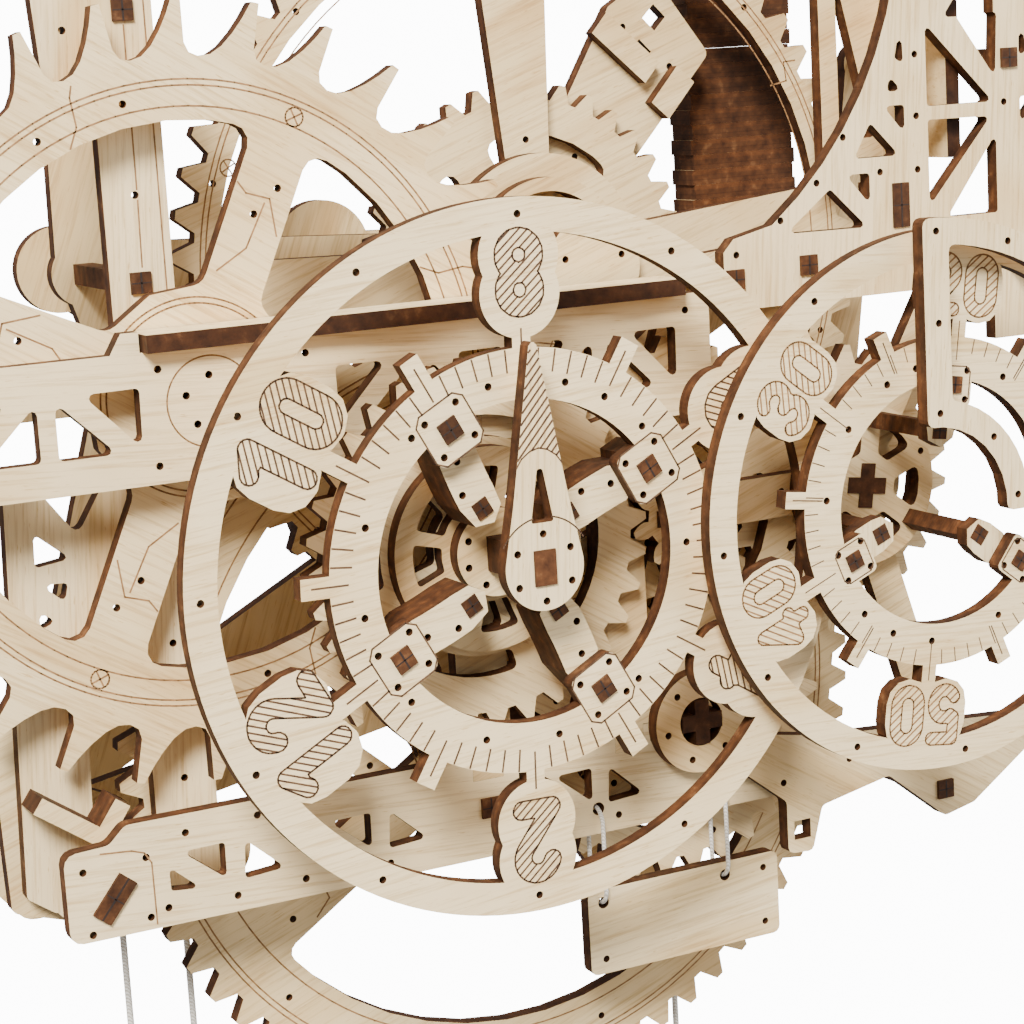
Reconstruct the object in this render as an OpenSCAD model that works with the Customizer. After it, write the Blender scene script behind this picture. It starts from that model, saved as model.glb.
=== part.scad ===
// Weight-driven wall clock built from laser-cut plywood pieces that slot together.
// Millimetres, +Z up, the dials face -Y and the wall is the plane y = 0.
// The origin lies on the wall face of the wall plate, straight behind the hour arbor.

/* [Material] */
// Thickness of one plywood sheet
ply = 3; // [3:0.1:3]
// Running clearance between parts that turn past each other
gap = 0.3; // [0.2:0.05:0.3]

/* [Hour dial] */
// Outer radius of the hour dial
hour_r = 61; // [60:0.5:62]
// Angle that the hour dial has turned past its numeral 8
hour_turn = -1.6; // [-15:0.1:15]

/* [Minute dial] */
// Distance from the hour arbor to the minute arbor
minute_x = 80.7; // [80.7:0.1:81]
// Outer radius of the minute dial
minute_r = 49.1; // [48:0.1:49.1]
// Angle that the minute dial has turned past its numeral 20
minute_turn = -8; // [-15:0.1:15]

/* [Train] */
// Teeth of the escape wheel
escape_teeth = 30; // [30:1:30]
// Teeth of the two large wheels' pinions
pinion_teeth = 8; // [8:1:8]
// Teeth of the upper wheel
upper_teeth = 60; // [60:1:60]
// Teeth of the great wheel
great_teeth = 64; // [64:1:64]

/* [Drive] */
// Radius of the cord drum
drum_r = 12; // [12:0.5:12]
// Height of the weight's pulley below the hour arbor
weight_drop = 150; // [140:1:160]
// Length of the pendulum from its pivot to the bob's centre
pendulum_length = 248; // [240:1:260]

/* [Output] */
// Node to draw, or all

/* [Hidden] */
$fa = 6;
$fs = 0.4;
wall_depth = 84;
wood = [0.90, 0.82, 0.68];
wood_dark = [0.42, 0.28, 0.18];
cord_colour = [0.93, 0.91, 0.86];
peg_r = 0.65;
slot_clear = 0.02;
axle_w = 8.4;
axle_corner = sqrt(axle_w * axle_w + ply * ply) / 2;
bearing_r = axle_corner + 0.06;
bar_w = 3.6;
lobe = 0.4;

// Depth of each layer's front face behind the front of the hour dial.
y_minute_frame = -12.6;
y_minute_dial = -6.6;
y_minute_arm = -3.6;
y_hour_pointer = -6;
y_hour_arm = 3;
y_hour_disc = 11.6;
y_hour_ring = 14.8;
y_hour_wheel = 17.8;
y_minute_hub = 17.5;
y_tower = 18;
y_front = 21;
y_reduction = 24.3;
y_escape = 27.6;
y_relay = 30.9;
y_mid = 34.2;
y_great = 37.8;
y_click = 40.8;
y_drum = 41.1;
y_cord = 45.9;
y_pull_cord = 48.9;
y_upper = 54;
y_rear = 66;
y_pendulum = 72;
y_wall = wall_depth - ply;

// Arbor positions, seen from the front as [x, z].
hour_at = [0, 0];
minute_at = [minute_x, 0.4];
reduction_at = [39.5, 0];
relay_at = [42.7, -39];
great_at = [12.9, -35.5];
upper_at = [32.4, 45.2];
escape_at = [-46.3, 30.6];
escape_r = 66.1;
anchor_span = 33;
anchor_at = [escape_at[0] - escape_r / cos(anchor_span) - 0.4, escape_at[1]];

// Long bars that tie the front frame to the rear frame and the wall plate.
bar_lower_left = [-70.2, -50.5];
bar_lower_right = [97, -62];
bar_tower_low = [112, 43.4];
bar_tower_high = [116.4, 78];
bar_post_high = [-51.6, 94.9];
bar_post_low = [-52.3, 50];
bar_beam_left = [-138, 29];
// Short bars that tie the front frame to the middle frame.
bar_base_left = [54, 41.6];
bar_base_right = [69.8, 42.9];
bar_lower_mid = [0, -48];
// Hole of the wall plate for the wall's screw.
hanging_at = [0, 48.7];
hanging_r = 2.25;

reduction_teeth = 36;
minute_pinion_teeth = 12;
hour_teeth = 32;
relay_wheel_teeth = 20;
relay_pinion_teeth = 30;
minute_wheel_teeth = 24;

guide_r = 5.85;
guide_z = great_at[1] - drum_r - guide_r;
guide_left_x = -44.5;
guide_right_x = 45.75;
cord_r = 0.6;
pin_r = 2.5;
hook_at = [guide_left_x - 3 * guide_r, -50];
weight_x = guide_left_x - 2 * guide_r;
knob_z = -140;

// ---------- plane geometry ----------

function polar(r, a) = [r * cos(a), r * sin(a)];
function unit(v) = v / norm(v);
function heading(p, q) = atan2(q[1] - p[1], q[0] - p[0]);

// Arc that rounds the corner p1 between p0 and p2 with radius r.
function corner_arc(p0, p1, p2, r, steps = 3) =
  let (
    u = unit(p0 - p1),
    v = unit(p2 - p1),
    half = acos(max(-1, min(1, u * v))) / 2,
    centre = p1 + unit(u + v) * r / sin(half),
    from = p1 + u * r / tan(half) - centre,
    to = p1 + v * r / tan(half) - centre,
    a = atan2(from[1], from[0]),
    turn = atan2(from[0] * to[1] - from[1] * to[0], from * to)
  )
  [for (i = [0 : steps]) centre + polar(r, a + turn * i / steps)];

// Outline with each corner i rounded by r, or only those corners named in keep.
function rounded(pts, r, steps = 3) =
  [for (i = [0 : len(pts) - 1])
    each corner_arc(pts[(i + len(pts) - 1) % len(pts)], pts[i], pts[(i + 1) % len(pts)], r, steps)];

function arc_points(r, from, to, steps) =
  [for (i = [0 : steps]) polar(r, from + (to - from) * i / steps)];

function spoke_angle(spoke, r) = asin(spoke / r / 2);

// Steps that leave each straight piece of an arc longer than its corners' rounding.
function arc_steps(r, angle, round_r, most) =
  max(1, min(most, floor(r * angle * PI / 180 / (2.4 * round_r))));

// Window of a wheel between radii r1 and r2 and between two spokes that widen outwards by flare.
function window_points(r1, r2, a1, a2, spoke, round_r, flare = 0, most = 10) =
  let (
    g1 = spoke_angle(spoke, r1),
    g2 = spoke_angle(spoke + flare, r2),
    outer_steps = arc_steps(r2, a2 - a1 - 2 * g2, round_r, most),
    inner_steps = arc_steps(r1, a2 - a1 - 2 * g1, round_r, most),
    all = concat(
      arc_points(r2, a1 + g2, a2 - g2, outer_steps),
      arc_points(r1, a2 - g1, a1 + g1, inner_steps)),
    n = len(all),
    corners = [0, outer_steps, outer_steps + 1, n - 1]
  )
  [for (i = [0 : n - 1])
    each len(search(i, corners)) > 0
      ? corner_arc(all[(i + n - 1) % n], all[i], all[(i + 1) % n], round_r)
      : [all[i]]];

module spoke_windows(r1, r2, count, spoke, start = 0, round_r = 2, flare = 0) {
  for (i = [0 : count - 1])
    polygon(window_points(r1, r2, start + 360 / count * i, start + 360 / count * (i + 1), spoke, round_r,
      flare));
}

module disc_at(p, r) {
  translate(p) circle(r);
}

// Straight strut with ends a little wider than its shank.
module strut(p, q, w) {
  translate(p) rotate(heading(p, q)) translate([0, -w / 2]) square([norm(q - p), w]);
  disc_at(p, w / 2 + lobe);
  disc_at(q, w / 2 + lobe);
}

module box_at(p, w, h, turn = 0) {
  translate(p) rotate(turn) square([w, h], center = true);
}

module round_box(w, h, r) {
  polygon(rounded([[-w / 2, -h / 2], [w / 2, -h / 2], [w / 2, h / 2], [-w / 2, h / 2]], r));
}

module pegs(points) {
  for (p = points) disc_at(p, peg_r);
}

module peg_circle(r, count, start = 0) {
  pegs([for (i = [0 : count - 1]) polar(r, start + 360 / count * i)]);
}

module cross_section(extra = 0) {
  square([axle_w + 2 * extra, ply + 2 * extra], center = true);
  square([ply + 2 * extra, axle_w + 2 * extra], center = true);
}

// ---------- sheet and bar building ----------

// A piece cut from sheet: its front face lies at depth y.
module sheet(y, count = 1) {
  slab(y, y + count * ply) children();
}

module slab(y0, y1) {
  translate([0, y1 - wall_depth, 0]) rotate([90, 0, 0]) linear_extrude(y1 - y0) children();
}

module cross_axle(p, y0, y1) {
  slab(y0, y1) translate(p) cross_section();
}

module bar(p, y0, y1, w = bar_w, h = bar_w, turn = 0) {
  slab(y0, y1) box_at(p, w, h, turn);
}

module bar_hole(p, w = bar_w, h = bar_w, turn = 0) {
  box_at(p, w + 2 * slot_clear, h + 2 * slot_clear, turn);
}

// ---------- gears ----------

pressure = 28;
addendum = 0.72;
dedendum = 0.95;
backlash = 0.5;

function involute(a) = tan(a) - a * PI / 180;
function pitch_r(n, mod) = n * mod / 2;

// Half of a tooth's width at radius r, as an angle.
function half_tooth(n, mod, r) =
  let (
    base = pitch_r(n, mod) * cos(pressure),
    a = acos(min(1, base / max(r, base))),
    at_pitch = 90 / n - backlash / 4 / pitch_r(n, mod) * 180 / PI
  )
  at_pitch + (involute(pressure) - involute(a)) * 180 / PI;

function gear_points(n, mod, turn, flank = 1) =
  let (
    tip = pitch_r(n, mod) + addendum * mod,
    root = pitch_r(n, mod) - dedendum * mod,
    start = max(root, pitch_r(n, mod) * cos(pressure)),
    radii = [for (j = [0 : flank]) tip + (start - tip) * j / flank],
    low = half_tooth(n, mod, start)
  )
  [for (i = [0 : n - 1])
    let (a = turn + 360 / n * i)
      each concat(
        [polar(root, a - low)],
        [for (j = [flank : -1 : 0]) polar(radii[j], a - half_tooth(n, mod, radii[j]))],
        [for (j = [0 : flank]) polar(radii[j], a + half_tooth(n, mod, radii[j]))],
        [polar(root, a + low)])];

// Turn of a gear with n teeth at q that meshes with one of k teeth, turned by t, at p.
function mesh_turn(p, k, t, q, n) =
  let (a = heading(p, q))
    a + 180 + 180 / n - (t - a) * k / n;

function mesh_module(p, k, q, n) = 2 * norm(q - p) / (k + n);

escape_module = mesh_module(escape_at, pinion_teeth, upper_at, upper_teeth);
great_module = mesh_module(great_at, great_teeth, upper_at, pinion_teeth);
relay_module = mesh_module(great_at, pinion_teeth, relay_at, relay_wheel_teeth);
drive_module = mesh_module(relay_at, relay_pinion_teeth, minute_at, minute_wheel_teeth);
reduction_module = mesh_module(minute_at, minute_pinion_teeth, reduction_at, reduction_teeth);
hour_module = mesh_module(reduction_at, pinion_teeth, hour_at, hour_teeth);

upper_wheel_turn = 0.5;
escape_pinion_turn = mesh_turn(upper_at, upper_teeth, upper_wheel_turn, escape_at, pinion_teeth);
great_wheel_turn = 1;
upper_pinion_turn = mesh_turn(great_at, great_teeth, great_wheel_turn, upper_at, pinion_teeth);
great_pinion_turn = 10;
relay_wheel_turn = mesh_turn(great_at, pinion_teeth, great_pinion_turn, relay_at, relay_wheel_teeth);
minute_wheel_turn = 7;
relay_pinion_turn =
  mesh_turn(minute_at, minute_wheel_teeth, minute_wheel_turn, relay_at, relay_pinion_teeth);
reduction_wheel_turn = 5;
minute_pinion_turn =
  mesh_turn(reduction_at, reduction_teeth, reduction_wheel_turn, minute_at, minute_pinion_teeth);
hour_wheel_turn = 2;
reduction_pinion_turn =
  mesh_turn(hour_at, hour_teeth, hour_wheel_turn, reduction_at, pinion_teeth);

module gear(n, mod, turn, flank = 1) {
  polygon(gear_points(n, mod, turn, flank));
}

// A large wheel with four spokes and a toothed rim, fixed on a cross axle.
module spoked_gear(n, mod, turn, rim, hub, spokes, spoke, start, flare = 0) {
  difference() {
    gear(n, mod, turn);
    spoke_windows(hub, pitch_r(n, mod) - rim, spokes, spoke, start, 2, flare);
    cross_section(slot_clear);
    peg_circle(pitch_r(n, mod) - rim / 2 - 1, 12, start + 11);
    for (i = [0 : spokes - 1])
      rotate(start + 360 / spokes * i) pegs([[hub + 5, 0], [pitch_r(n, mod) - rim - 5, 1.5]]);
  }
}

// ---------- frame ----------

module bar_slots(points) {
  for (p = points) bar_hole(p);
}

module wall_plate() {
  color(wood) sheet(y_wall) difference() {
    union() {
      strut(bar_lower_left, bar_tower_low, 11);
      strut(bar_post_low, bar_lower_right, 11);
      disc_at([4, 0], 15);
      disc_at(bar_lower_left, 9);
      disc_at(bar_lower_right, 8);
      disc_at(bar_tower_low, 8);
      disc_at(bar_post_low, 8);
      strut(bar_post_low, bar_tower_low, 9);
      disc_at(hanging_at, 10);
    }
    bar_hole(bar_lower_left, bar_w, 8.2, -39);
    bar_slots([bar_lower_right, bar_tower_low, bar_post_low]);
    disc_at(hanging_at, hanging_r);
    pegs([[-30, -27], [30, 3], [55, 18], [-20, 26], [40, -23], [70, -43]]);
  }
}

module rear_frame() {
  color(wood) sheet(y_rear) difference() {
    union() {
      strut(bar_lower_left, great_at, 10);
      strut(great_at, bar_lower_right, 10);
      strut(bar_lower_right, bar_tower_low, 9);
      strut(bar_tower_low, upper_at, 12);
      strut(bar_tower_low, bar_tower_high, 8);
      strut(upper_at, bar_post_low, 11);
      strut(bar_post_low, bar_post_high, 10);
      strut(bar_lower_left, escape_at, 10);
      strut(escape_at, bar_post_low, 8);
      strut(escape_at, anchor_at, 12);
      strut(anchor_at, bar_beam_left, 12);
      for (p = [great_at, upper_at, escape_at, anchor_at]) disc_at(p, 11);
      disc_at(bar_lower_left, 9);
      for (x = [guide_left_x, guide_right_x]) disc_at([x, guide_z], 7);
    }
    for (x = [guide_left_x, guide_right_x]) disc_at([x, guide_z], pin_r + slot_clear);
    for (p = [great_at, upper_at, escape_at, anchor_at]) disc_at(p, bearing_r);
    bar_hole(bar_lower_left, bar_w, 8.2, -39);
    bar_slots([bar_lower_right, bar_tower_low, bar_tower_high, bar_post_low, bar_post_high,
      bar_beam_left]);
    for (p = [great_at, upper_at, escape_at, anchor_at]) translate(p) peg_circle(8, 4, 45);
  }
}

// Square bars whose ends show as two-ply tenons in the plates that they join.
module spacer_bars() {
  color(wood_dark) {
    bar([90.8, 52.2], y_tower - 0.4, y_front + 8, bar_w, 8.2);
    bar(bar_lower_left, y_front - 0.6, wall_depth - 0.6, bar_w, 8.2, -39);
    bar(bar_lower_right, y_tower - 0.6, wall_depth - 0.6);
    bar(bar_tower_low, y_tower - 0.6, wall_depth - 0.6);
    bar(bar_tower_high, y_tower - 0.6, y_rear + ply + 0.6);
    bar(bar_post_low, y_mid - 0.6, wall_depth - 0.6);
    bar(bar_post_high, y_mid - 0.6, y_rear + ply + 0.6);
    bar(bar_beam_left, y_front - 0.6, y_rear + ply + 0.6);
    bar(bar_base_left, y_tower - 0.6, y_mid + ply);
    bar(bar_base_right, y_tower - 0.6, y_mid + ply);
    bar(bar_lower_mid, y_front - 0.6, y_mid + ply);
  }
}

beam_low = 17.9;
beam_high = 39.8;

// Half of a lattice cell: one hanging and one standing triangle beside a post at x = 0.
module beam_half_cell() {
  polygon(rounded([[6.2, 34], [15.8, 34.1], [15.6, 24.2]], 0.8));
  polygon(rounded([[1.5, 33.4], [11.4, 23.7], [1.5, 23.7]], 0.8));
}

module beam_cell(x) {
  translate([x, 0]) {
    beam_half_cell();
    mirror([1, 0]) beam_half_cell();
  }
}

module upper_beam() {
  color(wood) sheet(y_front) difference() {
    union() {
      translate([-142, beam_low]) square([192, beam_high - beam_low]);
      disc_at([-142, (beam_low + beam_high) / 2], (beam_high - beam_low) / 2);
      polygon([[-63, beam_high - 0.2], [-60.8, beam_high + 3.4], [-57.8, beam_high + 3.4],
        [-57.8, beam_high - 0.2]]);
    }
    disc_at(anchor_at, bearing_r);
    bar_hole(bar_beam_left);
    bridge_tabs(19.9, slot_clear);
    for (x = [-108.2, -74.2, -8, 27]) beam_cell(x);
    for (a = [18 : 72 : 306]) disc_at(escape_at + polar(4.4, a), peg_r);
    for (x = [-91, -56, -30, 10, 44]) pegs([[x, beam_low + 3], [x + 1, beam_high - 3]]);
  }
}

// Flat strip that lies on the upper beam, just in front of the escape wheel.
module upper_shelf() {
  color(wood_dark) translate([-57.4, y_tower - wall_depth, beam_high])
    cube([101, y_escape - gap - y_tower, ply]);
}

module lower_beam() {
  left = -78.3;
  low = -57.2;
  high = -38.3;
  color(wood) sheet(y_front) difference() {
    polygon(concat(
      rounded([[left, low], [left, -41.6], [-70.4, -41.2], [-67.4, high], [62, high], [62, low]], 2.2)));
    bar_hole(bar_lower_left, bar_w, 8.2, -39);
    bar_slots([bar_lower_mid]);
    pegs([bar_lower_left + [-5, 5.5], bar_lower_left + [6, 6], bar_lower_left + [-4.2, -5.5],
      bar_lower_left + [6, -4.5], [-57, -41.6], [-61, -54], [-44, -41], [-48.6, -54.4],
      [-36, -54], [-20, -54.4], [6, -54], [8, -41], [26, -54.4], [34, -41.4]]);
    for (x = [-58, -31, 13]) {
      polygon(rounded([[x - 2.4, -47], [x - 2.3, -51.2], [x + 3, -51.7]], 0.5));
      polygon(rounded([[x, -44.8], [x + 7.8, -44.6], [x + 7.7, -51]], 0.6));
      polygon(rounded([[x + 11.4, -44.9], [x + 11, -51.7], [x + 18.4, -51.2]], 0.6));
    }
    for (x = loop_x) disc_at([x, loop_top + 2.7], 1.2);
    bridge_tabs(-40.3, slot_clear);
    disc_at(relay_at, 6.5);
  }
}

// Struts between the two beams: they hold the hour post and the reduction and minute arbors.
// Tabs with which the bridge's two struts enter a beam.
bridge_x = [0, 29];

module bridge_tabs(z, extra = 0) {
  for (x = bridge_x) box_at([x, z], 6 + 2 * extra, 5 + 2 * extra);
}

module front_bridge() {
  color(wood) sheet(y_front) difference() {
    union() {
      for (x = bridge_x) translate([x - 5, -38.2]) square([10, 56]);
      bridge_tabs(-40.3);
      bridge_tabs(19.9);
      disc_at(hour_at, 8);
      disc_at(reduction_at, 8);
      strut(reduction_at, minute_at, 8);
      disc_at(minute_at, 10);
      strut(minute_at, [63, 40], 7);
      strut(minute_at, [104, 40], 7);
      strut(minute_at, [97, -50], 7);
    }
    bar_hole(hour_at, bar_w + 0.4, 2 * ply);
    disc_at(reduction_at, bearing_r);
    disc_at(minute_at, bearing_r);
    for (p = [hour_at, reduction_at, minute_at]) translate(p) peg_circle(6.6, 4, 45);
    pegs([[0, 14], [0, -33], [29, 14], [29, -33], [50, 1], [64, 1]]);
  }
}

module relay_plate() {
  color(wood) sheet(y_tower) difference() {
    union() {
      disc_at(relay_at, 9.6);
      polygon(rounded([relay_at + [-9, -4], relay_at + [9.3, -12], [60.5, -57.8], [60.5, -68], [66, -68.5],
        [68.5, -60], [84, -57], [97, -67.5], [104, -66], [119, -56], [119, -50], [70, -46.5],
        relay_at + [14, -5], relay_at + [7, 6.5]], 1.2, 2));
    }
    disc_at(relay_at, bearing_r);
    bar_slots([bar_lower_right]);
    bar_hole([63.8, -63.8]);
    translate(relay_at) peg_circle(7.3, 6, 12);
    pegs([[60, -54], [75, -52], [90, -53], [108, -56]]);
  }
}

module middle_frame() {
  color(wood) sheet(y_mid) difference() {
    union() {
      strut(bar_lower_mid, great_at, 9);
      strut(great_at, relay_at, 9);
      strut(relay_at, minute_at, 9);
      strut(relay_at, reduction_at, 8);
      strut(reduction_at, bar_base_left, 8);
      strut(bar_base_left, bar_base_right, 7);
      strut(bar_base_right, minute_at, 7);
      strut(bar_base_left, upper_at, 9);
      for (p = [great_at, relay_at, minute_at, reduction_at, upper_at]) disc_at(p, 8.5);
      disc_at(bar_lower_mid, 6);
    }
    for (p = [great_at, relay_at, minute_at, reduction_at, upper_at]) disc_at(p, bearing_r);
    bar_slots([bar_lower_mid, bar_base_left, bar_base_right]);
    for (p = [great_at, relay_at, minute_at, reduction_at, upper_at]) translate(p) peg_circle(6.8, 4, 30);
  }
}

// Cap in front of the upper arbor's bearing.
module bearing_cap() {
  color(wood) sheet(y_mid - ply) translate(upper_at) difference() {
    circle(9.5);
    peg_circle(6.1, 5, 18);
  }
}

module left_post() {
  x = -52;
  color(wood) sheet(y_mid) difference() {
    union() {
      polygon(rounded([[x - 5.6, -56], [x + 5.6, -56], [x + 5.6, 132], [x - 5.6, 132]], 2));
      disc_at(escape_at, 9);
      polygon(rounded([[x - 5.5, 76], [x - 14, 84], [x - 15, 100], [x - 5.5, 106]], 2));
      translate([-70.2, -50.5]) circle(8);
      polygon([[-71, -56.5], [x, -55], [x, -45], [-71, -44.5]]);
      polygon(rounded([[x - 5.5, 20], [x - 5.2, 10], [-68, -14], [-69, -46], [-76, -56], [-81.5, -52], [-79, 20],
        [-75, 20], [-67, 9], [-60, 20]], 1.2));
    }
    tower_triangle([[-74.6, 10.3], [-68.5, 5.2], [-74.8, 4.4]]);
    tower_triangle([[-74.1, 1.4], [-69.4, 1.2], [-70.2, -2]]);
    tower_triangle([[-74.8, -3.2], [-72, -5], [-74.8, -6.2]]);
    disc_at(escape_at, bearing_r);
    bar_slots([bar_post_high, bar_post_low]);
    bar_hole(bar_lower_left, bar_w, 8.2, -39);
    pegs([[x, 64.6], [x - 10, 92], [x, 112], [x, 126], [x, 14], [x, -12], [x, -36]]);
  }
}

// Side plate at the lower left, with its rotated bracket blocks.
module left_side_plate() {
  color(wood) {
    sheet(y_mid + ply) difference() {
      polygon(rounded([[-84.5, -20], [-70, -20], [-70, -46], [-62, -52], [-66, -61], [-83.5, -55]], 1.5));
      bar_hole(bar_lower_left, bar_w, 8.2, -39);
      pegs([[-80, -29], [-73.5, -32], [-79.5, -50], [-72, -57.5]]);
    }
    sheet(y_rear - 8) difference() {
      polygon(rounded([[-80, -34], [-66, -40], [-54, -46], [-57, -64], [-76, -64], [-84, -54]], 4));
      bar_hole(bar_lower_left, bar_w, 8.2, -39);
      disc_at(hook_at, 2 + slot_clear);
    }
  }
  color(wood_dark) slab(y_front + 6, y_mid) translate([-74, -38.5]) rotate(-36) {
    square([15, ply], center = true);
    translate([5.5, 4.2]) square([ply, 5.4], center = true);
  }
}

// ---------- lattice tower ----------

tower_mid = 105.6;
curve_at = [19.4, 109.9];
curve_r = 73.1;
tower_base = 36;
tower_top = 150;

// Left half of the tower's outline, from the base up the curved leg to the top.
function tower_half() = concat(
  [[51.8, tower_base], [51.8, 46.6], [54, 48.9]],
  [for (a = [-54 : 6 : 0]) curve_at + polar(curve_r, a)],
  [[92.6, 128], [97, 138], [97, 142], [93.5, 146], [93.5, tower_top]]);

function mirrored(pts) = [for (i = [len(pts) - 1 : -1 : 0]) [2 * tower_mid - pts[i][0], pts[i][1]]];

module tower_triangle(pts) {
  polygon(rounded(pts, 0.6, 2));
}

module tower_side_windows() {
  tower_triangle([[65.3, 48.9], [75.2, 56.3], [83.2, 48.7]]);
  tower_triangle([[78.8, 58.6], [84, 58.6], [84, 52.7]]);
  tower_triangle([[80.7, 61.4], [84.5, 67.8], [90.8, 61.4]]);
  tower_triangle([[87.6, 70.6], [92.2, 70.6], [92.2, 65.3]]);
  tower_triangle([[89.2, 75.9], [91.8, 73.2], [88.4, 73.2]]);
  tower_triangle([[92, 86.6], [92.3, 78], [90.4, 79.2]]);
}

module tower_centre_windows() {
  for (z = [51.5, 88.5]) {
    tower_triangle([[97.5, z + 16], [112, z + 15.8], [97.5, z]]);
    tower_triangle([[113.2, z + 12.6], [113.2, z - 2.4], [101.5, z - 2.4]]);
    if (z < 80) {
      tower_triangle([[97.4, 85.2], [112.6, 70], [97.4, 70]]);
      tower_triangle([[102.7, 88.7], [113.3, 74.4], [113.9, 86.4]]);
    }
  }
}

module tower_outline() {
  polygon(concat(tower_half(), mirrored(tower_half())));
}

module tower_front() {
  color(wood) sheet(y_tower) difference() {
    union() {
      tower_outline();
      polygon([[112, 25], [131, 25], [131, 37], [112, 37]]);
    }
    tower_side_windows();
    translate([2 * tower_mid, 0]) mirror([1, 0]) tower_side_windows();
    tower_centre_windows();
    bar_slots([bar_base_left, bar_base_right, bar_tower_low]);
    bar_hole(bar_tower_high);
    bar_hole([90.8, 52.2], 3.6, 8.2);
    for (a = frame_posts) bar_hole(minute_at + polar(54, a));
    pegs([[54.5, 46], [64.2, 51.4], [72.3, 57.6], [78.4, 65.5], [82.6, 74.5], [86.4, 58.6], [94.9, 58.5], [94.9, 68.4],
      [94.9, 79.7], [115.2, 69.8], [94, 104], [94, 120]]);
  }
}

module tower_rib() {
  color(wood_dark) translate([tower_mid - ply / 2, y_tower + ply - wall_depth, 60])
    cube([ply, y_rear - 24 - y_tower - ply, 88]);
}

module tower_rear() {
  color(wood) sheet(y_rear - 24) difference() {
    polygon([[90, 60], [121, 60], [121, 138], [90, 138]]);
    tower_triangle([[94, 64], [102, 64], [94, 96]]);
    tower_triangle([[109, 64], [109, 96], [103.4, 70]]);
    tower_triangle([[94, 102], [102, 102], [94, 134]]);
    bar_slots([bar_tower_high]);
  }
}

// Stack of sheet slats behind the upper wheel.
module tower_column() {
  color(wood_dark) for (i = [0 : 22])
    translate([76.5 + (i % 2) * 0.5, y_rear + ply - wall_depth, 44 + i * ply])
      cube([24, 8, ply - 0.02]);
}

// Slanted bracket behind the upper wheel, with two blocks.
module rear_bracket() {
  color(wood) {
    sheet(y_rear - 6) difference() {
      polygon(rounded([[36, 62], [52, 56], [76, 82], [64, 98], [54, 92]], 1.5));
      box_at([60.5, 83], bar_w, bar_w, 45);
      box_at([64, 89.5], bar_w, bar_w, 45);
      pegs([[45, 64], [52, 70], [57, 88], [67, 80]]);
    }
    slab(y_upper + ply + gap, y_rear - 6) {
      box_at([56, 84], 15, 5, -42);
      box_at([66, 75], 5, 9, -42);
    }
  }
}

// ---------- name plate ----------

plate_left = 18.6;
plate_right = 59.7;
plate_top = -67.9;
plate_low = -84.2;
loop_top = -55.2;
loop_x = [plate_left + 3.2, 48];

module name_plate() {
  color(wood) sheet(y_front) difference() {
    polygon(rounded([[plate_left, plate_low], [plate_right, plate_low], [plate_right, plate_top],
      [plate_left, plate_top]], 1.4));
    for (x = [plate_left + 3.2, plate_right - 3.2]) pegs([[x, plate_low + 2.8]]);
    for (x = loop_x) disc_at([x, plate_top - 2.6], 1.1);
    pegs([[plate_right - 3.2, plate_top - 2.8]]);
  }
}

module name_plate_loops() {
  top = loop_top;
  low = plate_top + 0.1;
  reach = 2.9;
  color(cord_colour) for (x = loop_x) translate([x, y_front + ply / 2 - wall_depth, 0]) {
    for (s = [-1, 1]) translate([0, s * reach, low]) cylinder(r = 0.4, h = top - low);
    for (end = [[top, 0], [low, 180]]) translate([0, 0, end[0]]) rotate([end[1], 0, 0])
      rotate([90, 0, 90]) rotate_extrude(angle = 180) translate([reach, 0]) circle(0.4);
  }
}

// ---------- fixed pointers ----------

// Quarter ring over the minute dial: its centre, radii and the legs' two edges.
frame_at = [74.5, -0.5];
frame_r = [15.8, 20.6, 47.8, 52.4];
frame_leg = [1.1, 4.3];
// Posts that carry the frame: angles round the minute arbor.
frame_posts = [48, 34];

module minute_frame() {
  color(wood) sheet(y_minute_frame) difference() {
    union() {
      translate(frame_at) polygon(window_points(frame_r[0], frame_r[3], 0, 90, -2 * frame_leg[0], 1.4, 0, 26));
      strut(frame_at + polar(50, 44), minute_at + polar(54, frame_posts[0]), 7);
      strut(frame_at + polar(50, 31), minute_at + polar(54, frame_posts[1]), 7);
    }
    translate(frame_at) polygon(window_points(frame_r[1], frame_r[2], 0, 90, 2 * frame_leg[1], 1.2, 0, 26));
    for (a = frame_posts) bar_hole(minute_at + polar(54, a));
    translate(frame_at) pegs([[1.8, 34], polar(50.1, 88), polar(50.1, 70), polar(50.1, 20), polar(50.1, 2),
      polar(18.2, 85), polar(18.2, 44), polar(18.2, 5)]);
  }
}

module minute_frame_posts() {
  color(wood_dark) for (a = frame_posts)
    bar(minute_at + polar(54, a), y_minute_frame - 0.4, y_tower + ply + 0.4);
}

module hour_pointer() {
  tip = 37.6;
  color(wood) sheet(y_hour_pointer) difference() {
    union() {
      circle(7.3);
      polygon([polar(7.3, 12), [5.2, 11], [0.75, tip - 0.6], [0.2, tip], [-0.2, tip], [-0.75, tip - 0.6],
        [-5.2, 11], polar(7.3, 168)]);
    }
    polygon(rounded([[-2.1, 7.6], [2.1, 7.6], [0.5, 16.6], [-0.5, 16.6]], 0.4));
    bar_hole(hour_at, bar_w + 0.4, 2 * ply);
    peg_circle(5.7, 6, 90);
  }
}

// Fixed post for the hour pointer with the discs that the hour wheel turns on.
module hour_post() {
  color(wood_dark) slab(y_hour_pointer - 0.4, y_front + ply) box_at(hour_at, bar_w + 0.4, 2 * ply);
  color(wood) {
    sheet(y_hour_disc) difference() {
      circle(7.7);
      bar_hole(hour_at, bar_w + 0.4, 2 * ply);
      peg_circle(6, 8, 20);
    }
    slab(y_hour_disc + ply, y_front) difference() {
      circle(6);
      bar_hole(hour_at, bar_w + 0.4, 2 * ply);
    }
  }
}

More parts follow.
